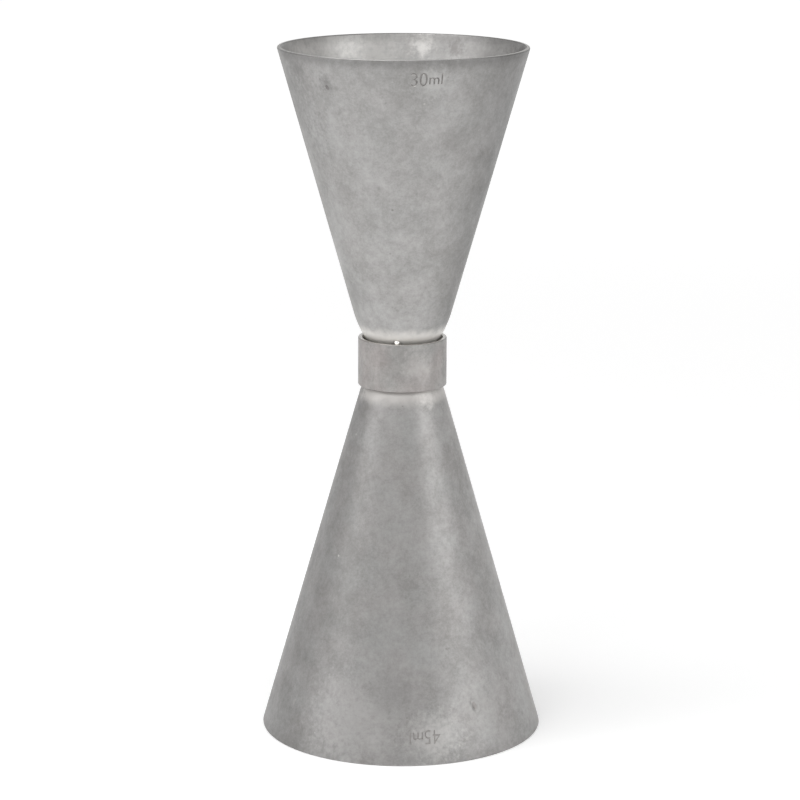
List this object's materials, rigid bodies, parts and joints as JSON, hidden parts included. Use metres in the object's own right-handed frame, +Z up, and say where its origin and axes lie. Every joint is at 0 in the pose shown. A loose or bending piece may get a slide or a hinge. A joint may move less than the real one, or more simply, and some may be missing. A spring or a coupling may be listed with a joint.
{
  "type": "cocktail jigger",
  "caption": "Double-ended cocktail jigger of worn satin steel: slim conical cups joined bottom to bottom inside a plain waist collar, each filled to the brim to measure a drink.",
  "frame": {"origin": "on the axis, level with the lower rim that the jigger stands on", "axes": "+Z up along the axis of both cups, -Y towards the side with the capacity marks and the tack"},
  "size_m": [0.048, 0.048, 0.1175],
  "materials": {
    "cup_steel": "tumbled satin, softly mottled",
    "collar_steel": "satin, slightly warm",
    "braze_filler": "as flowed, hidden",
    "tack_filler": "bright bead"
  },
  "bodies": {
    "root": {"upper_cup": "cup_steel", "lower_cup": "cup_steel", "collar": "collar_steel", "waist_braze": "braze_filler", "collar_tack": "tack_filler"}
  },
  "joints": []
}
